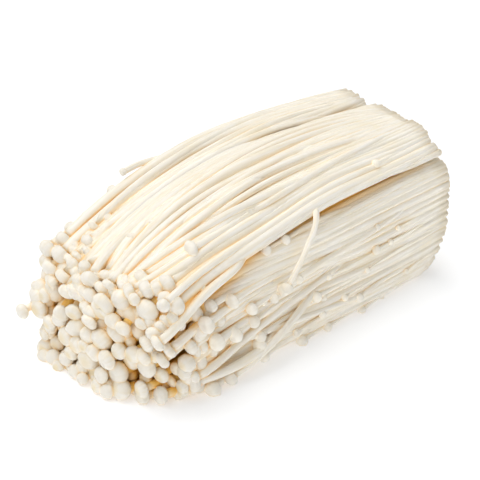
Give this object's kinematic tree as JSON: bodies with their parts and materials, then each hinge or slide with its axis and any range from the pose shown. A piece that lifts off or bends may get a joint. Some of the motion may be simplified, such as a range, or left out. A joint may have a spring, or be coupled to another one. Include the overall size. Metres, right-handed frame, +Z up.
{
  "type": "enoki mushroom bunch",
  "caption": "Bunch of cultivated enoki mushrooms lying on its side: long thin pale stems pressed together, small round caps crowded at one end and a flat cut at the other.",
  "frame": {"origin": "under the middle of the bunch, on the surface that it lies on", "axes": "+X along the stems from the caps to the cut end, +Z up from the surface"},
  "size_m": [0.1422, 0.0656, 0.0585],
  "materials": {
    "mushroom_flesh": "creamy white mushroom flesh, satin and slightly translucent, with fine lengthwise fibres"
  },
  "bodies": {
    "root": {"front_clump": "mushroom_flesh", "top_clump": "mushroom_flesh", "back_clump": "mushroom_flesh"}
  },
  "joints": []
}
